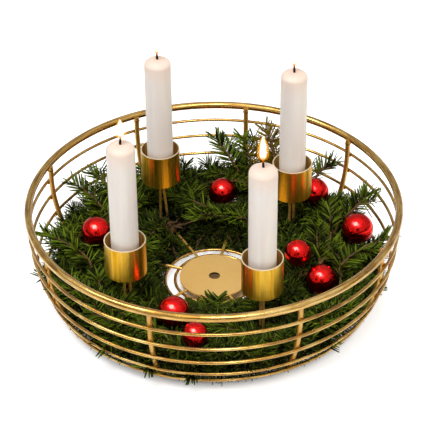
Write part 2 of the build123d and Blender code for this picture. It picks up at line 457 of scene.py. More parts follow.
wax, wax_tree, wax_shader = new_finish(
    "wax", Roughness=0.42, Subsurface_Weight=0.35, Subsurface_Scale=0.006, Specular_IOR_Level=0.35,
    Subsurface_Radius=(1.0, 0.72, 0.5), Emission_Strength=0.025,
)
wax_place = own_place(wax_tree)
pour = grain(wax_tree, stretch(wax_tree, wax_place, POUR_STRETCH), POUR_SCALE)
# Painted glow: the top of the wax is coloured warmer and given a little emission, as if lit by the flame
painted_glow = read_mark(wax_tree, "painted_glow")
wax_body = mix_tones(wax_tree, fade(wax_tree, pour, 0.35, 0.65), tone(242, 234, 228), tone(249, 243, 238))
wax_body = mix_tones(wax_tree, painted_glow, wax_body, tone(238, 218, 203))
plug(wax_tree, wax_shader.inputs["Base Color"], wax_body)
wax_painted_glow = mix_tones(wax_tree, painted_glow, NO_GLOW, tone(255, 204, 140))
plug(wax_tree, wax_shader.inputs["Emission Color"], wax_painted_glow)
hand_waves = grain(wax_tree, wax_place, HAND_WAVE_SCALE, detail=2.0)
bump(wax_tree, wax_shader, hand_waves, strength=0.15, depth=0.4)

candle_tops = []
for number in CANDLES:
    low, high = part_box(f"candle_{number}")
    seat = Vector(((low.x + high.x) / 2, (low.y + high.y) / 2, low.z))
    tall = (high.z - low.z) / MM
    candle_tops.append(Vector((seat.x, seat.y, high.z)))
    profile = [(0.0, SPIKE_HOLE_DEPTH), (SPIKE_HOLE, SPIKE_HOLE_DEPTH), (SPIKE_HOLE, 0.0)]
    profile += [(CANDLE_RADIUS - FOOT_CHAMFER, 0.0), (CANDLE_RADIUS, FOOT_CHAMFER)]
    profile += [(CANDLE_RADIUS, tall * row / SIDE_ROWS) for row in range(1, SIDE_ROWS - 1)]
    for row in range(SHOULDER_ROWS + 1):
        angle = radians(90 * row / SHOULDER_ROWS)
        out = CANDLE_RADIUS - SHOULDER_WIDTH * (1 - cos(angle))
        profile.append((out, tall - SHOULDER_DROP * (1 - sin(angle))))
    profile += [(out, tall - down) for out, down in POOL]
    candle = turn_profile(profile, seat, CANDLE_SIDES)
    mark_height(candle, "painted_glow", high.z - GLOW_DEPTH * MM, high.z)
    for point in candle.verts:
        melt = (point.co.z - high.z) / MM / MELT_DEPTH + 1.0
        if melt > 0:
            sway = noise.noise(point.co * MELT_SCALE + Vector((number * 3.0, 0, 0)))
            point.co.z += (sway * MELT_SWAY - MELT_SINK) * melt * MM
    piece = link_piece(f"candle_wax_{number}", candle, [wax], f"candle_{number}_lift")
    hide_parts(f"candle_{number}")


# Wicks: braided cotton cord set in the wax, bent a little, charred black by the flame.
# The end glows, and the wax soaks the foot of the cord.

WICK_SET_IN = 5.5
WICK_RADIUS = 1.15
WICK_ROWS = 14
WICK_TAPER = 0.25
WICK_BEND = 0.8
WICK_TURN = 2.1
BRAID_BULGE = 0.12
BRAID_TWIST = 0.5
BRAID_FLATNESS = 0.8
CHAR_SCALE = 1800.0
TUBE_SIDES = 8

wick_cord, wick_tree, wick_shader = new_finish(
    "wick_cord", Roughness=0.9, Emission_Strength=1.0, Specular_IOR_Level=0.1
)
wick_rise = read_mark(wick_tree, "rise")
char = grain(wick_tree, own_place(wick_tree), CHAR_SCALE)
wick_body = mix_tones(wick_tree, char, tone(16, 8, 4), tone(46, 26, 12))
wick_body = mix_tones(wick_tree, fade(wick_tree, wick_rise, 0.46, 0.34), wick_body, tone(74, 44, 20))
plug(wick_tree, wick_shader.inputs["Base Color"], wick_body)
ember = mix_tones(wick_tree, fade(wick_tree, wick_rise, 0.62, 0.9), NO_GLOW, tone(250, 132, 8))
plug(wick_tree, wick_shader.inputs["Emission Color"], ember)
bump(wick_tree, wick_shader, char, strength=0.6, depth=0.3)


def push_section(bm, stations):
    """A closed tube: one end face pushed from station to station. A station is a place matrix."""
    ring = bmesh.ops.create_circle(bm, cap_ends=True, segments=TUBE_SIDES, radius=1.0, matrix=stations[0])
    face = ring["verts"][0].link_faces[0]
    bmesh.ops.duplicate(bm, geom=[face])
    for here, there in zip(stations, stations[1:]):
        face = bmesh.ops.extrude_discrete_faces(bm, faces=[face])["faces"][0]
        bmesh.ops.transform(bm, matrix=there @ here.inverted(), verts=face.verts)
    bmesh.ops.remove_doubles(bm, verts=bm.verts, dist=0.000005)


wick_tips = []
for number, top in zip(CANDLES, candle_tops):
    foot = top - Vector((0, 0, WICK_SET_IN * MM))
    tip_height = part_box(f"wick_{number}")[1].z
    lean = Vector((cos(number * WICK_TURN), sin(number * WICK_TURN), 0.0)) * (WICK_BEND * MM)
    stations = []
    for row in range(WICK_ROWS + 1):
        rise = row / WICK_ROWS
        place = foot + Vector((0, 0, (tip_height - foot.z) * rise)) + lean * rise**2
        girth = WICK_RADIUS * (1.0 - WICK_TAPER * rise**4) * (1.0 + BRAID_BULGE * (row % 2)) * MM
        section = Matrix.Diagonal((girth, girth * BRAID_FLATNESS, girth, 1.0))
        twisted = Matrix.Rotation(row * BRAID_TWIST, 4, "Z") @ section
        stations.append(Matrix.Translation(place) @ twisted)
    wick_tips.append(place)
    cord = bmesh.new()
    push_section(cord, stations)
    mark_height(cord, "rise", foot.z, tip_height)
    piece = link_piece(f"wick_braid_{number}", cord, [wick_cord], f"candle_{number}_lift")
    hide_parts(f"wick_{number}")


# Flames: burning wax vapour, a bright core that hides what is behind it, in a thin warm veil.
# Each rises from the end of its wick, clear and orange at the foot and drawn out to a point.

FLAME_BELOW_TIP = 4.6
FLAME_LENGTH = 28.0
FLAME_RADIUS = 2.9
FLAME_SIDES = 28
FLAME_ROWS = 28
FLAME_FULLEST = 0.22
FOOT_CURVE = 1.3
BODY_CURVE = 1.5
VEIL_WIDTH = 2.0
HIGHEST_FLAME = 233.0
# Shares of the height over which the colour changes, and over which core and veil start to show
FOOT_COLOURS = (0.1, 0.28)
TIP_COLOURS = (0.6, 1.0)
CORE_STARTS = (0.04, 0.22)
VEIL_STARTS = (0.04, 0.3)
# By how far it turns from the eye, the veil starts to show beside the core, and thins to its rim
VEIL_INNER = (0.09, 0.17)
VEIL_OUTER = (0.8, 0.17)
VEIL_SHARE = 0.05


def flame_ramp(tree, foot_tone, body_tone, tip_tone):
    """How high a point of a flame lies, and its colour from foot through body to tip."""
    rise = read_mark(tree, "rise")
    colour = mix_tones(tree, fade(tree, rise, *FOOT_COLOURS), foot_tone, body_tone)
    return rise, mix_tones(tree, fade(tree, rise, *TIP_COLOURS), colour, tip_tone)


flame_core, core_tree, core_shader = new_finish(
    "flame_core", Base_Color=NO_GLOW, Emission_Strength=1.3, Specular_IOR_Level=0.0
)
core_rise, core_colour = flame_ramp(
    core_tree, foot_tone=tone(255, 116, 4), body_tone=tone(255, 252, 240), tip_tone=tone(255, 246, 220)
)
plug(core_tree, core_shader.inputs["Emission Color"], core_colour)
plug(core_tree, core_shader.inputs["Alpha"], fade(core_tree, core_rise, *CORE_STARTS))
flame_veil, veil_tree, veil_shader = new_finish(
    "flame_veil", Base_Color=NO_GLOW, Emission_Strength=12.0, Specular_IOR_Level=0.0
)
veil_rise, veil_colour = flame_ramp(
    veil_tree, foot_tone=tone(255, 150, 16), body_tone=tone(255, 172, 24), tip_tone=tone(255, 184, 60)
)
plug(veil_tree, veil_shader.inputs["Emission Color"], veil_colour)
facing = add_node(veil_tree, "ShaderNodeLayerWeight", Blend=0.5).outputs["Facing"]
veil_inner = fade(veil_tree, facing, *VEIL_INNER, VEIL_SHARE)
veil_depth = number_from(veil_tree, "MULTIPLY", veil_inner, fade(veil_tree, facing, *VEIL_OUTER))
veil_foot = fade(veil_tree, veil_rise, *VEIL_STARTS)
veil_depth = number_from(veil_tree, "MULTIPLY", veil_depth, veil_foot)
plug(veil_tree, veil_shader.inputs["Alpha"], veil_depth)


def flame_profile(girth, tall):
    """A tall drop: full close to the foot, then drawn in slowly to a point."""
    profile = [(0.0, 0.0)]
    for row in range(1, FLAME_ROWS):
        rise = row / FLAME_ROWS
        if rise < FLAME_FULLEST:
            out = girth * sin(pi / 2 * rise / FLAME_FULLEST) ** FOOT_CURVE
        else:
            out = girth * cos(pi / 2 * ((rise - FLAME_FULLEST) / (1 - FLAME_FULLEST)) ** BODY_CURVE)
        profile.append((out, tall * rise))
    return profile + [(0.0, tall)]


for number, tip in zip(CANDLES, wick_tips):
    foot = tip - Vector((0, 0, FLAME_BELOW_TIP * MM))
    tall = min(FLAME_LENGTH, HIGHEST_FLAME - foot.z / MM)
    flame = turn_profile(flame_profile(FLAME_RADIUS, tall), foot, FLAME_SIDES)
    veil = turn_profile(flame_profile(FLAME_RADIUS * VEIL_WIDTH, tall), foot, FLAME_SIDES)
    for face in veil.faces:
        face.material_index = 1
    shell = bpy.data.meshes.new("flame_shell")
    veil.to_mesh(shell)
    veil.free()
    flame.from_mesh(shell)
    bpy.data.meshes.remove(shell)
    mark_height(flame, "rise", foot.z, foot.z + tall * MM)
    link_piece(f"flame_{number}", flame, [flame_core, flame_veil], f"candle_{number}_lift")


# Balls: blown glass, silvered inside and lacquered red, each with a pressed cap and a wire loop.
# They lie loose on the fir with the cap turned down and away, out of sight.

BALLS = range(1, 9)
GLASS_SEGMENTS = 64
GLASS_RINGS = 40
SWIRL_SCALE = 90.0
CAP_TURN = Vector((0.15, 0.5, -0.85)).normalized()
CAP_RADIUS = 4.4
CAP_TAPER = 0.9
CAP_DEPTH = 4.6
CAP_SIDES = 24
CAP_MIDDLE = 1.2
CAP_LIP_WIDTH = 0.7
CAP_LIP_DEPTH = 0.5
LOOP_WIRE = 0.4
LOOP_WIDTH = 2.2
LOOP_HEIGHT = 2.6
LOOP_FOOT = 3.6
LOOP_ROWS = 16

ball_red, ball_tree, ball_shader = new_finish(
    "ball_red", Metallic=1.0, Coat_Weight=0.24, Coat_Roughness=0.12
)
swirl = grain(ball_tree, own_place(ball_tree), SWIRL_SCALE, detail=2.0)
ball_body = mix_tones(ball_tree, swirl, tone(244, 20, 17), tone(254, 25, 21))
# The balls are weaker in reflections, so that they don't dye what lies round them
ball_seen = add_node(ball_tree, "ShaderNodeLightPath").outputs["Is Camera Ray"]
ball_body = mix_tones(ball_tree, ball_seen, tone(176, 12, 9), ball_body)
plug(ball_tree, ball_shader.inputs["Base Color"], ball_body)
plug(ball_tree, ball_shader.inputs["Roughness"], spread(ball_tree, swirl, 0.3, 0.7, 0.1, 0.15))
cap_gold = gold_finish(
    "cap_gold", light=tone(226, 190, 118), deep=tone(208, 164, 84), speck=tone(160, 118, 50),
    scales=(300.0, 2600.0), shine=(0.3, 0.2), Metallic=1.0,
)


def facing_along(direction):
    """A turn that points the Z axis along a direction."""
    return direction.to_track_quat("Z", "Y").to_matrix().to_4x4()


balls = bpy.data.collections.new("balls")
ball_shapes = []
for number in BALLS:
    low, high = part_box(f"ball_{number}")
    middle = (low + high) / 2
    radius = (high.x - low.x) / 2
    ball_shapes.append((middle, radius))
    turned_down = Matrix.Translation(middle) @ facing_along(CAP_TURN)
    globe = bmesh.new()
    bmesh.ops.create_uvsphere(
        globe, u_segments=GLASS_SEGMENTS, v_segments=GLASS_RINGS, radius=radius, matrix=turned_down
    )
    glass_faces = len(globe.faces)
    crown = bmesh.ops.create_cone(
        globe, cap_ends=True, segments=CAP_SIDES, radius1=CAP_RADIUS * MM,
        radius2=CAP_RADIUS * CAP_TAPER * MM, depth=CAP_DEPTH * MM,
        matrix=turned_down @ Matrix.Translation((0, 0, radius + CAP_MIDDLE * MM)),
    )
    crown_faces = {face for point in crown["verts"] for face in point.link_faces}
    top_face = max(crown_faces, key=lambda face: (face.calc_center_median() - middle).length)
    bmesh.ops.inset_region(
        globe, faces=[top_face], thickness=CAP_LIP_WIDTH * MM, depth=CAP_LIP_DEPTH * MM
    )
    loop_path = []
    for row in range(LOOP_ROWS + 1):
        angle = pi * row / LOOP_ROWS
        spot = Vector((LOOP_WIDTH * cos(angle), 0.0, LOOP_HEIGHT * sin(angle) + LOOP_FOOT)) * MM
        spot += Vector((0, 0, radius))
        ahead = Vector((-LOOP_WIDTH * sin(angle), 0.0, LOOP_HEIGHT * cos(angle)))
        girth = Matrix.Diagonal((LOOP_WIRE * MM, LOOP_WIRE * MM, LOOP_WIRE * MM, 1.0))
        loop_path.append(turned_down @ Matrix.Translation(spot) @ facing_along(ahead) @ girth)
    push_section(globe, loop_path)
    globe.faces.ensure_lookup_table()
    for face in globe.faces[glass_faces:]:
        face.material_index = 1
    finishes = [ball_red, cap_gold]
    piece = link_piece(f"ball_glass_{number}", globe, finishes, f"ball_{number}_lift")
    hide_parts(f"ball_{number}")
    balls.objects.link(piece)


# Fir sprigs: fresh cut branches laid round the bowl on the spokes and arms, with side shoots
# pushed outwards and up against the rings. Each is a brown stem with thinner shoots, set all
# round with flat needles that point forward, and parted to both sides on the larger shoots.

UP = Vector((0.0, 0.0, 1.0))
# A track is the radius and height at which stems lie, and each sprig has a start and an end on one
INNER_TRACK = (83.2, 22.9)
OUTER_TRACK = (132.9, 22.4)
SPRIGS = (
    (INNER_TRACK, 58.0, 170.0),
    (INNER_TRACK, 188.0, 296.0),
    (INNER_TRACK, 314.0, 400.0),
    (OUTER_TRACK, 28.0, 106.8),
    (OUTER_TRACK, 118.0, 192.8),
    (OUTER_TRACK, 204.0, 280.8),
    (OUTER_TRACK, 292.0, 376.8),
)
FIRST_SEED = 40
STEM_ROWS = 24
STEM_GIRTH = (2.4, 1.5)
STEM_SUNK = 4
STEM_WANDER = 2.5
STEM_WAVE = 1.5
WANDER_STEP = 0.9
WAVE_STEP = 0.7
# The larger shoots, by sprig: root, bend and tip, each out, round and up
LARGE_SHOOTS = {
    1: (
        ((83, 78, 24), (67, 78, 40), (117, 114, 38)),
        ((83, 74, 24), (69, 83, 42), (67, 121, 31)),
        # These low shoots lie flat on the floor behind the plate, as dark fill where the floor there lies
        # in shade
        ((83, 140, 12), (72, 130, 6), (58, 118, 6)),
        ((83, 146, 12), (70, 138, 6), (56, 132, 6)),
        ((83, 134, 12), (76, 124, 6), (66, 114, 6)),
        ((83, 128, 12), (80, 120, 6), (74, 110, 6)),
        ((83, 156, 12), (72, 150, 6), (56, 146, 6)),
        ((83, 110, 12), (72, 106, 6), (56, 102, 6)),
        ((83, 98, 12), (72, 95, 6), (55, 92, 6)),
        ((83, 86, 12), (72, 83, 6), (55, 80, 6)),
        ((83, 74, 12), (72, 71, 6), (55, 68, 6)),
    ),
    2: (
        ((83, 258, 22), (66, 258, 24), (51, 261, 19)),
        ((83, 266, 22), (64, 268, 24), (48, 270, 20)),
        ((83, 276, 22), (66, 277, 24), (50, 278, 19)),
    ),
    3: (((83, 346, 24), (126, 342, 49), (135, 31, 50)),),
    4: (
        ((133, 74, 24), (128, 77, 51), (163, 89, 68)),
        ((133, 62, 24), (160, 65, 60), (168, 71, 80)),
        ((133, 66, 24), (150, 68, 44), (165, 66, 58)),
        ((133, 70, 24), (150, 74, 50), (166, 79, 66)),
        ((133, 48, 24), (145, 45, 62), (165, 44, 67)),
        ((133, 28, 24), (142, 16, 56), (167, 23, 62)),
    ),
    5: (
        ((133, 152, 24), (106, 150, 48), (165, 148, 63)),
        ((133, 190, 24), (98, 194, 46), (164, 176, 56)),
        ((133, 134, 24), (138, 136, 52), (163, 139, 62)),
        ((133, 128, 24), (140, 127, 40), (160, 130, 54)),
        ((133, 190, 24), (150, 192, 34), (169, 194, 42)),
    ),
    6: (
        ((133, 214, 24), (130, 214, 44), (160, 204, 50)),
        ((133, 268, 24), (134, 264, 38), (158, 256, 42)),
        ((133, 238, 24), (148, 233, 22), (162, 230, 24)),
        ((133, 254, 22), (146, 249, 18), (160, 247, 19)),
        ((133, 270, 22), (144, 265, 17), (158, 261, 17)),
    ),
    7: (
        ((133, 348, 24), (106, 338, 50), (166, 0, 56)),
        ((133, 318, 24), (134, 316, 42), (160, 308, 46)),
        ((133, 318, 22), (146, 314, 18), (157, 311, 19)),
        ((133, 350, 24), (148, 345, 24), (160, 342, 28)),
    ),
}
# Some shoots by a candle have a painted golden light from its flame: sprig, and place in its list
FLAME_LIT_SHOOTS = ((4, 1), (4, 2))
# Those whose tips lie no higher than this are thin and have no side shoots
LOW_TIP = 35
LARGE_GIRTH = 1.8
LOW_GIRTH = 1.1
LARGE_LENGTH = 1.18
# Rows of small shoots that fill each sprig below: how far out their tips lie, and how low and high
INNER_ROWS = (
    (52, 8, 13), (58, 7, 11), (66, 12, 18), (74, 7, 11), (75, 14, 26), (86, 7, 11), (88, 14, 30),
    (98, 9, 17), (101, 15, 28),
)
OUTER_ROWS = (
    (106, 9, 18), (112, 15, 26), (124, 14, 28), (136, 11, 30), (146, 10, 22), (150, 18, 36), (157, 24, 42)
)
ROW_GAP = 12.0
ROW_RUN = 30.0
ROW_GIRTH = 1.0
ROW_ARCH = 5
ROW_WANDER = 5
ROW_PLACES = (0.15, 0.85)
ROW_BACK = (0.5, 1.0)
ROW_NEEDLES = (0.88, 1.06)
ROOT_SUNK = 2
PAST_ENDS = 9.0
# Sprays that lie on top of them, with side shoots: how far out their tips lie, and how low and high
INNER_SPRAYS = (64, 106, 27, 36)
OUTER_SPRAYS = (112, 158, 32, 44)
SPRAY_GAP = 13.0
SPRAY_RUN = 56.0
SPRAY_GIRTH = 1.2
SPRAY_ARCH = 6
SPRAY_STEP = 0.382
SPRAY_PLACES = (0.2, 0.8)
SPRAY_NEEDLES = (0.92, 1.06)
LEAST_ASIDE = 0.2
BEND_SHARE = 0.4
SIDE_SHOOTS = 2
# Needles at one station of a shoot: the share that grows, and degrees round the twig with a scatter
FULL_STATION = (
    (1.0, ((8, 16), (172, 16), (52, 18), (128, 18))),
    (0.5, ((-90, 40),)),
)
PARTED_STATION = (
    (1.0, ((5, 7), (175, 7))),
    (0.4, ((34, 10), (146, 10))),
    (0.08, ((90, 25), (-90, 30))),
)
# Kinds of shoot: the gap between stations, the needles there, their lean, width and tint, the most painted
# light they get high up, and the share of painted depth shade
FILLING = {
    "gap": 1.7, "station": FULL_STATION, "lean": (0.82, 1.15), "width": 1.0,
    "tint": -0.06, "painted_light_limit": 0.0, "painted_depth_share": 1.0,
}
SPRAY = {
    "gap": 2.25, "station": PARTED_STATION, "lean": (0.92, 1.08), "width": 1.15,
    "tint": 0.14, "painted_light_limit": 0.0, "painted_depth_share": 1.0,
}
LARGE = {**SPRAY, "width": 1.8, "painted_light_limit": 0.3, "painted_depth_share": 0.4}
NEEDLE_LENGTH = 16.5
NEEDLE_WIDTH = 1.12
NEEDLE_THICKNESS = 1.0
NEEDLE_REACH = (0.88, 1.08)
NEEDLE_LEAN = 66
TIP_LEAN = 32
TIP_SHORTER = 0.22
NEEDLE_TWIST = 0.5
BARE_FOOT = 0.12
# A needle's shade, from dark to light: by chance, by its shoot, by painted shade that darkens it the deeper
# it stands, and at the tip
MIDDLE_SHADE = 0.47
SHADE_SCATTER = 0.31
SHOOT_TINT = 0.14
TIP_TINT = 0.12
LIT_HEIGHT = 40.0
DIM_DEPTH = 50.0
DEEPEST_SHADE = -0.5
# Values that a needle's points carry
NEEDLE_MARKS = ("along", "shade", "flame_lit")

needle_green, needle_tree, needle_shader = new_finish("needle_green", Specular_IOR_Level=0.09)
along, shade, painted_flame_light = (read_mark(needle_tree, name) for name in NEEDLE_MARKS)
needle_body = mix_tones(needle_tree, fade(needle_tree, shade, 0.0, 0.5), tone(6, 9, 1), tone(33, 41, 2))
# The last of these marks is a painted golden light from a candle flame on some shoots
for mask, colour in (
    (fade(needle_tree, shade, 0.5, 1.0), tone(110, 134, 27)),
    (fade(needle_tree, along, 0.6, 1.0, 0.25), tone(122, 146, 36)),
    (fade(needle_tree, along, 0.2, 0.0, 0.5), tone(72, 60, 22)),
    (fade(needle_tree, painted_flame_light, 0.0, 1.0, 0.7), tone(146, 112, 28)),
):
    needle_body = mix_tones(needle_tree, mask, needle_body, colour)
plug(needle_tree, needle_shader.inputs["Base Color"], needle_body)
plug(needle_tree, needle_shader.inputs["Roughness"], spread(needle_tree, shade, 0.0, 1.0, 0.6, 0.42))

twig_bark, bark_tree, bark_shader = new_finish("twig_bark", Roughness=0.85)
bark_scales = grain(bark_tree, own_place(bark_tree), 700.0, detail=4.0, roughness=0.65)
bark_mask = fade(bark_tree, bark_scales, 0.35, 0.65)
bark_body = mix_tones(bark_tree, bark_mask, tone(60, 38, 10), tone(112, 78, 32))
plug(bark_tree, bark_shader.inputs["Base Color"], bark_body)
bump(bark_tree, bark_shader, bark_scales, strength=0.7, depth=0.5)

# One needle, a unit long: a flat three-sided blade, widest above the middle and a little curved
BLADE_FOOT = 0.42
BLADE_TIP = 0.3
BLADE_WIDEST = 0.6
BLADE_FULLER = 1.6
BLADE_CURVE = 0.3

blade = bmesh.new()
bmesh.ops.create_cone(
    blade, cap_ends=True, segments=3, radius1=BLADE_FOOT, radius2=BLADE_TIP, depth=1.0,
    matrix=Matrix.Translation((0, 0, 0.5)),
)
everything = blade.verts[:] + blade.edges[:] + blade.faces[:]
bmesh.ops.bisect_plane(blade, geom=everything, plane_co=(0, 0, BLADE_WIDEST), plane_no=(0, 0, 1))
for point in blade.verts:
    if 0.0 < point.co.z < 1.0:
        point.co = Vector((point.co.x * BLADE_FULLER, point.co.y * BLADE_FULLER + BLADE_CURVE, point.co.z))
needle_mesh = bpy.data.meshes.new("needle_blade")
blade.to_mesh(needle_mesh)
blade.free()
needle_along = [point.co.z for point in needle_mesh.vertices]

# Room that the needles leave for the floor, the plate, the balls with their way out, and the cups
LOWEST_NEEDLE = 1.5
PLATE_ROOM = 36.0
PLATE_ROOM_TOP = 13.0
NEAR_BALL = 0.095
LIFT_ROOM = 0.9
CAP_ROOM = 7.5
CUP_ROOM = 20.6
CUP_BOTTOM = 64.0
# Needles end at the wall, with a little slack, but for those of the larger shoots
WALL_SLACK = 2.0
WIDEST_NEEDLE = 188.0
# The fir is parted before each ball, by the share of its radius that shows below its middle, and before
# each stem down to a height, so that both are seen from the front at this slope
PARTED_SLOPE = 0.66
PARTED_REACH = 60.0
BALL_SHOWS = (0.95, 0.95, 0.0, 0.95, 0.95, 0.95, 0.95, 0.95)
STEM_SHOWS = (34.0, 15.0, 44.0, 22.0)
STEM_ROOM = 3.6
# It shows one arm from the plate to the bend
OPEN_ARM = ((34.0, 117.2), (99.0, 117.2))
OPEN_ARM_SHOWS = 8.5
OPEN_ARM_BEHIND = -3.0
# It keeps off the floor beside and behind the plate, further away where it stands high
OPEN_EDGE = 48.0
OPEN_EDGE_HIGH = 57.0
OPEN_HIGH = 16.0
OPEN_TOP = 40.0
OPEN_LEFT = -29.0
# Before the plate it stays below the sight of the plate's edge, but for one tuft
EDGE_SHOWS = 9.0
PLATE_TUFT = (-19.0, 15.0)
TUFT_RISE = 14.0

arm_end, arm_bend = (polar(*place, 0.0) for place in OPEN_ARM)
ball_rooms = [(*shape, shows) for shape, shows in zip(ball_shapes, BALL_SHOWS)]
wall = []
for number in range(5, 0, -1):
    low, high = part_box(f"side_ring_{number}")
    wall.append(((low.z + high.z) / 2 / MM, (high.x - low.x) / 2 / MM))


def wall_at(height):
    """The bowl's outer radius at a height, from ring to ring."""
    for (low, inner), (high, outer) in zip(wall, wall[1:]):
        if height < high:
            return inner + (outer - inner) * (height - low) / (high - low)
    return wall[-1][1]


def hides_ball(point, rooms):
    """True in a ball, its cap or its way out, and in the sight of it from the front."""
    for middle, radius, shows in rooms:
        before = middle.y - point.y
        if abs(point.x - middle.x) < radius and 0.0 < before < PARTED_REACH * MM:
            if point.z > middle.z - shows * radius + PARTED_SLOPE * before:
                return True
        aside = sqrt((point.x - middle.x) ** 2 + (point.y - middle.y) ** 2)
        if aside < radius + LIFT_ROOM * MM and point.z > middle.z:
            return True
        if (point - middle).length < radius + LIFT_ROOM * MM:
            return True
        if (point - middle - CAP_TURN * radius).length < CAP_ROOM * MM:
            return True
    return False


def hides_cup(point):
    """True in a cup, and in the sight of its stem from the front."""
    height = point.z / MM
    for axis, shows in zip(cup_axes, STEM_SHOWS):
        aside = sqrt((point.x - axis.x) ** 2 + (point.y - axis.y) ** 2)
        if height > CUP_BOTTOM and aside < CUP_ROOM * MM:
            return True
        before = (axis.y - point.y) / MM
        if abs(point.x - axis.x) < STEM_ROOM * MM and -STEM_ROOM < before < PARTED_REACH:
            if height > shows + PARTED_SLOPE * max(0.0, before):
                return True
    return False


def hides_arm(point):
    """True in the sight of the open arm from the front."""
    share = (point.x - arm_end.x) / (arm_bend.x - arm_end.x)
    if not 0.0 < share < 1.0:
        return False
    before = (arm_end.y + (arm_bend.y - arm_end.y) * share - point.y) / MM
    shows = OPEN_ARM_SHOWS + PARTED_SLOPE * max(0.0, before)
    return OPEN_ARM_BEHIND < before < PARTED_REACH and point.z / MM > shows


def blocked(point, rooms, pokes_out):
    """True where no needle may stand. Those of the larger shoots may poke out of the bowl."""
    out = sqrt(point.x**2 + point.y**2) / MM
    across, before, height = point.x / MM, -point.y / MM, point.z / MM
    if height < LOWEST_NEEDLE or (out < PLATE_ROOM and height < PLATE_ROOM_TOP):
        return True
    if out > (WIDEST_NEEDLE if pokes_out else wall_at(height) + WALL_SLACK):
        return True
    in_tuft = pokes_out and PLATE_TUFT[0] < across < PLATE_TUFT[1]
    open_edge = OPEN_EDGE if across < OPEN_LEFT or before < 0.0 else PLATE_ROOM
    if out < (OPEN_EDGE_HIGH if height > OPEN_HIGH and before < 0.0 else open_edge) and height < OPEN_TOP:
        return not (in_tuft and before > 0.0)
    if before > 0.0 and abs(across) < open_edge:
        past_edge = before - sqrt(open_edge**2 - across**2)
        shows = EDGE_SHOWS + (TUFT_RISE if in_tuft else 0.0) + PARTED_SLOPE * past_edge
        if 0.0 < past_edge < PARTED_REACH and height > shows:
            return True
    return hides_arm(point) or hides_ball(point, rooms) or hides_cup(point)


def along_shoot(root, bend, tip, part):
    """A point of a bent shoot, and its direction there."""
    back = 1.0 - part
    spot = root * back**2 + bend * (2 * back * part) + tip * part**2
    ahead = (bend - root) * back + (tip - bend) * part
    return spot, ahead.normalized()


def even_parts(root, bend, tip, gap, steps=80):
    """Shares of a bent shoot's length that lie an even gap apart along it."""
    parts, gone, last = [], 0.0, root
    for step in range(1, steps + 1):
        spot = along_shoot(root, bend, tip, step / steps)[0]
        gone += (spot - last).length
        last = spot
        if gone >= gap:
            parts.append(step / steps)
            gone -= gap
    return parts


def bark_tube(spots, thick, thin, bud=0.35):
    """The bark of a shoot, thinner towards its bud, as a mesh."""
    stations = []
    last = len(spots) - 1
    for row, (spot, ahead) in enumerate(spots):
        girth = (thick + (thin - thick) * (row / last)) * (bud if row == last else 1.0) * MM
        section = Matrix.Diagonal((girth, girth, girth, 1.0))
        stations.append(Matrix.Translation(spot) @ facing_along(ahead) @ section)
    bark = bmesh.new()
    push_section(bark, stations)
    for face in bark.faces:
        face.material_index = 1
    mesh = bpy.data.meshes.new("bark")
    bark.to_mesh(mesh)
    bark.free()
    return mesh


def station_needles(rng, groups):
    """Degrees round the twig at which needles grow at one station."""
    arounds = []
    for share, places in groups:
        drawn = [rng.gauss(around, scatter) for around, scatter in places]
        arounds += [around for around in drawn if share == 1.0 or rng.random() < share]
    return arounds


def needle_set(rng, root, bend, tip, length, kind, flame_lit):
    """The needles along a shoot, shorter and further forward at its end, as a mesh."""
    bm = bmesh.new()
    along_layer, shade_layer, flame_lit_layer = (bm.verts.layers.float.new(name) for name in NEEDLE_MARKS)
    ends = (root, bend, tip)
    near = [room for room in ball_rooms if min((room[0] - end).length for end in ends) < NEAR_BALL]
    tint = rng.uniform(-SHOOT_TINT, SHOOT_TINT) + kind["tint"]
    for part in even_parts(root, bend, tip, kind["gap"] * MM):
        if part < BARE_FOOT:
            continue
        spot, ahead = along_shoot(root, bend, tip, part)
        side = ahead.cross(UP).normalized()
        top = side.cross(ahead)
        arounds = station_needles(rng, kind["station"])
        lean = radians(NEEDLE_LEAN - TIP_LEAN * part**3)
        # Painted shade: needles darken the deeper they stand, and on the larger shoots they lighten as they
        # rise
        painted_depth_light = max(DEEPEST_SHADE, min(kind["painted_light_limit"], (spot.z / MM - LIT_HEIGHT) / DIM_DEPTH))
        for around in arounds:
            angle = radians(around)
            forward = lean * rng.uniform(*kind["lean"])
            direction = ahead * cos(forward) + (side * cos(angle) + top * sin(angle)) * sin(forward)
            reach = length * rng.uniform(*NEEDLE_REACH) * (1.0 - TIP_SHORTER * part**2) * MM
            needle = [spot + direction * reach * share for share in (0.0, 0.5, 1.0)]
            if any(blocked(point, near, kind is LARGE) for point in needle):
                continue
            twist = Matrix.Rotation(rng.uniform(-NEEDLE_TWIST, NEEDLE_TWIST), 4, "Z")
            turn = facing_along(direction) @ twist
            width = NEEDLE_WIDTH * kind["width"] * MM
            size = Matrix.Diagonal((width, NEEDLE_THICKNESS * MM, reach, 1.0))
            start = len(bm.verts)
            bm.from_mesh(needle_mesh)
            bm.verts.ensure_lookup_table()
            points = bm.verts[start:]
            bmesh.ops.transform(bm, matrix=Matrix.Translation(spot) @ turn @ size, verts=points)
            drawn = rng.gauss(MIDDLE_SHADE, SHADE_SCATTER)
            needle_shade = drawn + tint + painted_depth_light * kind["painted_depth_share"] + TIP_TINT * part**2
            for point, rise in zip(points, needle_along):
                point[along_layer] = rise
                point[shade_layer] = min(1.0, max(0.0, needle_shade))
                point[flame_lit_layer] = flame_lit
    mesh = bpy.data.meshes.new("needles")
    bm.to_mesh(mesh)
    bm.free()
    return mesh


BARK_ROWS = 8
BARK_TAPER = 0.55
FIRST_FORK = 0.34
FORK_SPAN = 0.4
FORK_RUN = (0.34, 0.46)
FORK_LONGEST = 1.1
FORK_SHORTENS = 0.5
# How far a side shoot runs ahead and aside, at its root and to its tip
FORK_ROOT = (0.45, 0.55)
FORK_TIP = (0.72, 0.7)
FORK_RISE = (-0.05, 0.15)
FORK_GIRTH = 0.6
FORK_NEEDLES = 0.9


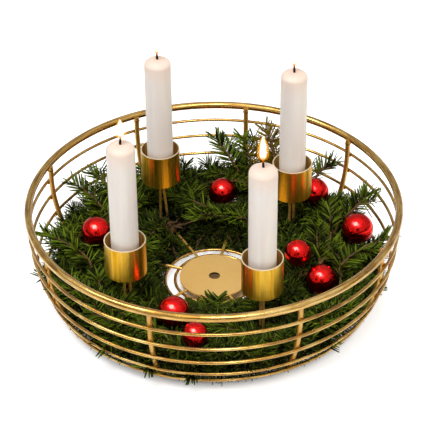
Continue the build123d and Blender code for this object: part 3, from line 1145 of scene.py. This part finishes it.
def grow(rng, root, bend, tip, thick, length, forks, kind, flame_lit=0.0):
    """One shoot with its bark and needles, and smaller shoots to each side, as meshes."""
    spots = [along_shoot(root, bend, tip, row / BARK_ROWS) for row in range(BARK_ROWS + 1)]
    if kind is not LARGE and any(blocked(spot, ball_rooms, False) for spot, ahead in spots[3:]):
        return []
    needles = needle_set(rng, root, bend, tip, length, kind, flame_lit)
    meshes = [bark_tube(spots, thick, thick * BARK_TAPER), needles]
    run = (tip - root).length
    for fork in range(forks):
        part = FIRST_FORK + FORK_SPAN * fork / max(1, forks - 1)
        spot, ahead = along_shoot(root, bend, tip, part)
        side = ahead.cross(UP).normalized() * (1 if fork % 2 else -1)
        fork_run = run * rng.uniform(*FORK_RUN) * (FORK_LONGEST - FORK_SHORTENS * part)
        way = ahead * FORK_TIP[0] + side * FORK_TIP[1] + UP * rng.uniform(*FORK_RISE)
        fork_tip = spot + way.normalized() * fork_run
        first_way = ahead * FORK_ROOT[0] + side * FORK_ROOT[1]
        fork_bend = spot + first_way.normalized() * fork_run * 0.5
        meshes += grow(
            rng, spot, fork_bend, fork_tip, thick * FORK_GIRTH, length * FORK_NEEDLES, 0, SPRAY, flame_lit
        )
    return meshes


for number, ((track_radius, track_height), start, end) in enumerate(SPRIGS, start=1):
    rng = Random(FIRST_SEED + number)
    stem_spots = []
    for row in range(STEM_ROWS + 1):
        azimuth = start + (end - start) * row / STEM_ROWS
        wander = STEM_WANDER * sin(row * WANDER_STEP + number)
        wave = STEM_WAVE * sin(row * WAVE_STEP)
        spot = polar(track_radius + wander, azimuth, track_height - STEM_SUNK + wave)
        angle = radians(azimuth)
        stem_spots.append((spot, Vector((-sin(angle), cos(angle), 0.0))))
    sprig_meshes = [bark_tube(stem_spots, *STEM_GIRTH)]

    for place, controls in enumerate(LARGE_SHOOTS[number]):
        root, bend, tip = (polar(*control) for control in controls)
        low = controls[2][2] <= LOW_TIP
        thick, forks = (LOW_GIRTH, 0) if low else (LARGE_GIRTH, SIDE_SHOOTS)
        flame_lit = 1.0 if (number, place) in FLAME_LIT_SHOOTS else 0.0
        sprig_meshes += grow(rng, root, bend, tip, thick, NEEDLE_LENGTH * LARGE_LENGTH, forks, LARGE, flame_lit)

    outer = track_radius > INNER_TRACK[0]
    sweep = end - start + 2 * PAST_ENDS
    for row_radius, lowest, highest in OUTER_ROWS if outer else INNER_ROWS:
        count = int(radians(sweep) * row_radius / ROW_GAP)
        for shoot in range(count):
            azimuth = start - PAST_ENDS + sweep * (shoot + rng.uniform(*ROW_PLACES)) / count
            height = rng.uniform(lowest, highest)
            back = rng.choice((-1, 1)) * degrees(rng.uniform(*ROW_BACK) * ROW_RUN / row_radius)
            root = polar(track_radius, min(end, max(start, azimuth + back)), track_height - ROOT_SUNK)
            tip = polar(row_radius + rng.uniform(-ROW_WANDER, ROW_WANDER), azimuth, height)
            arch = (track_height + height) / 2 + ROW_ARCH
            bend = polar((track_radius + row_radius) / 2, azimuth + back * BEND_SHARE, arch)
            length = NEEDLE_LENGTH * rng.uniform(*ROW_NEEDLES)
            sprig_meshes += grow(rng, root, bend, tip, ROW_GIRTH, length, 0, FILLING)

    nearest, furthest, lowest, highest = OUTER_SPRAYS if outer else INNER_SPRAYS
    count = int(radians(end - start) * track_radius / SPRAY_GAP)
    for spray in range(count):
        azimuth = start + (end - start) * (spray + rng.uniform(*SPRAY_PLACES)) / count
        away = nearest + (furthest - nearest) * (spray * SPRAY_STEP % 1.0)
        aside = sqrt(max(LEAST_ASIDE, 1.0 - ((away - track_radius) / SPRAY_RUN) ** 2)) * SPRAY_RUN
        turn = rng.choice((-1, 1)) * degrees(aside / away)
        height = rng.uniform(lowest, highest)
        root = polar(track_radius, azimuth, track_height)
        tip = polar(away, azimuth + turn, height)
        bend = polar((track_radius + away) / 2, azimuth + turn * BEND_SHARE, height + SPRAY_ARCH)
        length = NEEDLE_LENGTH * rng.uniform(*SPRAY_NEEDLES)
        sprig_meshes += grow(rng, root, bend, tip, SPRAY_GIRTH, length, SIDE_SHOOTS, SPRAY)

    sprig = bmesh.new()
    for name in NEEDLE_MARKS:
        sprig.verts.layers.float.new(name)
    for mesh in sprig_meshes:
        sprig.from_mesh(mesh)
        bpy.data.meshes.remove(mesh)
    piece = link_piece(f"fir_branch_{number}", sprig, [needle_green, twig_bark], "holder")
    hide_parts(f"fir_sprig_{number}")
bpy.data.meshes.remove(needle_mesh)


# Table and light: a plain white table top in a studio that is bright above and dim low down, with
# a soft light high on the left and a weak one low on the right. One softbox glints only in what is
# polished, another only lights the balls, and a dark card in front is there for the metal to mirror.

TABLE_HALF = 3.0
# The table is lifted to white past the bowl and round the plate, and less so in reflections. Under the fir
# and the plate the lift is left out, a painted shade on top of the shadow that falls there
WHITE_LIFT = 0.58
MIRRORED_SHARE = 0.2
PAST_BOWL = (0.142, 0.156)
SEEN_BY_PLATE = (0.0, 0.009, 0.0)
BY_PLATE = (0.051, 0.047)
UNDER_PLATE = (0.03, 0.036)
BEFORE_PLATE = (-0.035, -0.029)
CARD_PLACE = (0.0, -1.9, 0.9)
CARD_TILT = 70
CARD_SIZE = (0.9, 0.9)
LIGHT_AIM = Vector((0.0, 0.0, 0.08))
KEY_PLACE = (-0.45, -0.62, 1.9)
KEY_SIZE = 0.9
KEY_POWER = 19.0
FILL_PLACE = (1.5, -0.5, 0.7)
FILL_SIZE = 0.8
FILL_POWER = 5.0
FILL_COLOUR = (1.0, 0.83, 0.6)
GLINT_SIZE = 2.2
GLINT_DEPTH = 0.7
GLINT_POWER = 43.0
BALL_GLINT_PLACE = (-0.43, -0.59, 1.81)
BALL_GLINT_SIZE = 1.05
BALL_GLINT_POWER = 95.0
SKY_POLE = Vector((0.0, -0.34, 0.94))
SKY_BAND = (0.4, 0.95)
SKY_STRENGTHS = (0.42, 0.96)
SKY_COLOUR = (1.0, 0.99, 0.98, 1.0)


def stage_sheet(name, material, size, place):
    """A flat sheet of the studio, which is no part of the bowl."""
    sheet = bmesh.new()
    bmesh.ops.create_grid(sheet, x_segments=1, y_segments=1, size=size, matrix=place)
    mesh = bpy.data.meshes.new(name)
    sheet.to_mesh(mesh)
    sheet.free()
    mesh.materials.append(material)
    piece = bpy.data.objects.new(name, mesh)
    bpy.context.scene.collection.objects.link(piece)
    return piece


floor_white, floor_tree, floor_shader = new_finish(
    "floor_white", Roughness=0.9, Specular_IOR_Level=0.0, Emission_Color=(1.0, 1.0, 1.0, 1.0)
)
floor_place = own_place(floor_tree)
floor_grain = grain(floor_tree, floor_place, 3.0)
floor_body = mix_tones(floor_tree, floor_grain, tone(247, 247, 247), tone(250, 250, 250))
plug(floor_tree, floor_shader.inputs["Base Color"], floor_body)
path = add_node(floor_tree, "ShaderNodeLightPath").outputs
seen = number_from(floor_tree, "MULTIPLY_ADD", path["Is Glossy Ray"], MIRRORED_SHARE, path["Is Camera Ray"])
from_axis = measure_from(floor_tree, "LENGTH", floor_place)
from_plate = measure_from(floor_tree, "DISTANCE", floor_place, SEEN_BY_PLATE)
white = fade(floor_tree, from_plate, *BY_PLATE, WHITE_LIFT)
white = number_from(floor_tree, "MULTIPLY", white, fade(floor_tree, from_axis, *UNDER_PLATE))
from_front = part_of(floor_tree, floor_place, "Y")
white = number_from(floor_tree, "MULTIPLY", white, fade(floor_tree, from_front, *BEFORE_PLATE))
white = number_from(floor_tree, "MAXIMUM", white, fade(floor_tree, from_axis, *PAST_BOWL, WHITE_LIFT))
floor_lift = number_from(floor_tree, "MULTIPLY", seen, white)
plug(floor_tree, floor_shader.inputs["Emission Strength"], floor_lift)
stage_sheet("table_top", floor_white, TABLE_HALF, Matrix.Identity(4))

card_dark = new_finish("card_dark", Base_Color=(0.01, 0.01, 0.01, 1.0), Roughness=1.0)[0]
card_place = Matrix.Translation(CARD_PLACE) @ Matrix.Rotation(radians(CARD_TILT), 4, "X")
dark_card = stage_sheet("dark_card", card_dark, 0.5, card_place @ Matrix.Diagonal((*CARD_SIZE, 1.0, 1.0)))
dark_card.visible_camera = False


def soft_light(name, place, size, power):
    """A soft light aimed at the bowl, square unless it is given another shape."""
    lamp = bpy.data.lights.new(name, "AREA")
    lamp.size = size
    lamp.energy = power
    light = bpy.data.objects.new(name, lamp)
    light.location = place
    light.rotation_euler = (LIGHT_AIM - Vector(place)).to_track_quat("-Z", "Y").to_euler()
    bpy.context.scene.collection.objects.link(light)
    return light


key_light = soft_light("key_light", KEY_PLACE, KEY_SIZE, KEY_POWER)
key_light.visible_glossy = False
fill_light = soft_light("fill_light", FILL_PLACE, FILL_SIZE, FILL_POWER)
fill_light.data.color = FILL_COLOUR
fill_light.visible_glossy = False
glint_light = soft_light("glint_light", KEY_PLACE, GLINT_SIZE, GLINT_POWER)
glint_light.data.shape = "RECTANGLE"
glint_light.data.size_y = GLINT_DEPTH
glint_light.visible_diffuse = False
ball_glint = soft_light("ball_glint", BALL_GLINT_PLACE, BALL_GLINT_SIZE, BALL_GLINT_POWER)
ball_glint.data.shape = "DISK"
ball_glint.light_linking.receiver_collection = balls

world = bpy.data.worlds.new("studio")
world.use_nodes = True
sky_tree = world.node_tree
sky = sky_tree.nodes["Background"]
sky.inputs["Color"].default_value = SKY_COLOUR
sky_way = add_node(sky_tree, "ShaderNodeTexCoord").outputs["Generated"]
sky_rise = measure_from(sky_tree, "DOT_PRODUCT", sky_way, SKY_POLE)
sky_light = spread(sky_tree, sky_rise, *SKY_BAND, *SKY_STRENGTHS)
sky_seen = add_node(sky_tree, "ShaderNodeLightPath").outputs["Is Camera Ray"]
plug(sky_tree, sky.inputs["Strength"], number_from(sky_tree, "MAXIMUM", sky_light, sky_seen))
bpy.context.scene.world = world
bpy.context.scene.view_settings.view_transform = "Standard"


# Camera: above the front edge, looking down into the bowl with a long lens, and turned a little
# on its axis. The shift puts the bowl's middle where it stands in the picture.

CAMERA_PLACE = (0.0, -1.3, 1.0065)
CAMERA_DOWN = 35.342
CAMERA_ROLL = -0.6
CAMERA_LENS = 139.08
CAMERA_SENSOR = 36.0
CAMERA_SHIFT = 0.0028

lens = bpy.data.cameras.new("camera")
lens.lens = CAMERA_LENS
lens.sensor_width = CAMERA_SENSOR
lens.shift_x = CAMERA_SHIFT
camera = bpy.data.objects.new("camera", lens)
aim = Matrix.Rotation(radians(90 - CAMERA_DOWN), 4, "X") @ Matrix.Rotation(radians(CAMERA_ROLL), 4, "Z")
camera.matrix_world = Matrix.Translation(CAMERA_PLACE) @ aim
bpy.context.scene.collection.objects.link(camera)
bpy.context.scene.camera = camera
